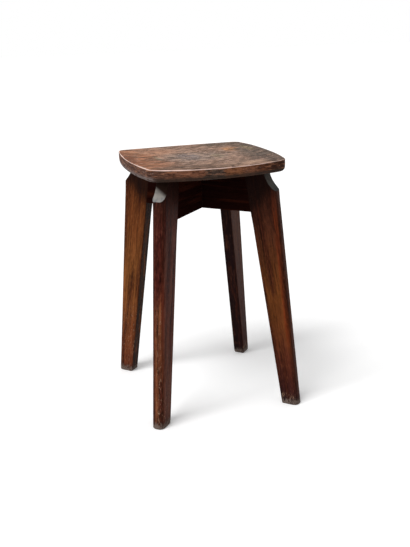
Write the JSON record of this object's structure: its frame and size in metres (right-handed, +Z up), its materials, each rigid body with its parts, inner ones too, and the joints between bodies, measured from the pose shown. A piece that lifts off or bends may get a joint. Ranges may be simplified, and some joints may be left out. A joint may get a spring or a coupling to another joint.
{
  "type": "stool",
  "caption": "Wooden stool: a slightly dished plank seat with swollen edges, on splayed tapering legs joined by half-lapped crossed rails.",
  "frame": {"origin": "on the floor under the middle of the seat", "axes": "+Z up; the stool's front towards -Y; +X towards the right-hand end of the seat, which rises a little above its front and back edges"},
  "size_m": [0.287, 0.3012, 0.4599],
  "materials": {
    "seat_wood": "old stained varnish, worn through and scuffed on the top, pale along the upper edge",
    "frame_wood": "dark red-brown stained varnish, satin, rubbed on the corners and scuffed at the feet",
    "dowel_wood": "bare turned hardwood",
    "screw_steel": "dull plain steel"
  },
  "bodies": {
    "root": {"seat": "seat_wood", "leg_back_right": "frame_wood", "leg_back_left": "frame_wood", "leg_front_left": "frame_wood", "leg_front_right": "frame_wood", "cross_rail_front_left": "frame_wood", "cross_rail_front_right": "frame_wood", "dowel_back_right_upper": "dowel_wood", "dowel_back_right_lower": "dowel_wood", "dowel_back_left_upper": "dowel_wood", "dowel_back_left_lower": "dowel_wood", "dowel_front_left_upper": "dowel_wood", "dowel_front_left_lower": "dowel_wood", "dowel_front_right_upper": "dowel_wood", "dowel_front_right_lower": "dowel_wood", "seat_screw_back_right": "screw_steel", "seat_screw_back_left": "screw_steel", "seat_screw_front_left": "screw_steel", "seat_screw_front_right": "screw_steel"}
  },
  "joints": []
}
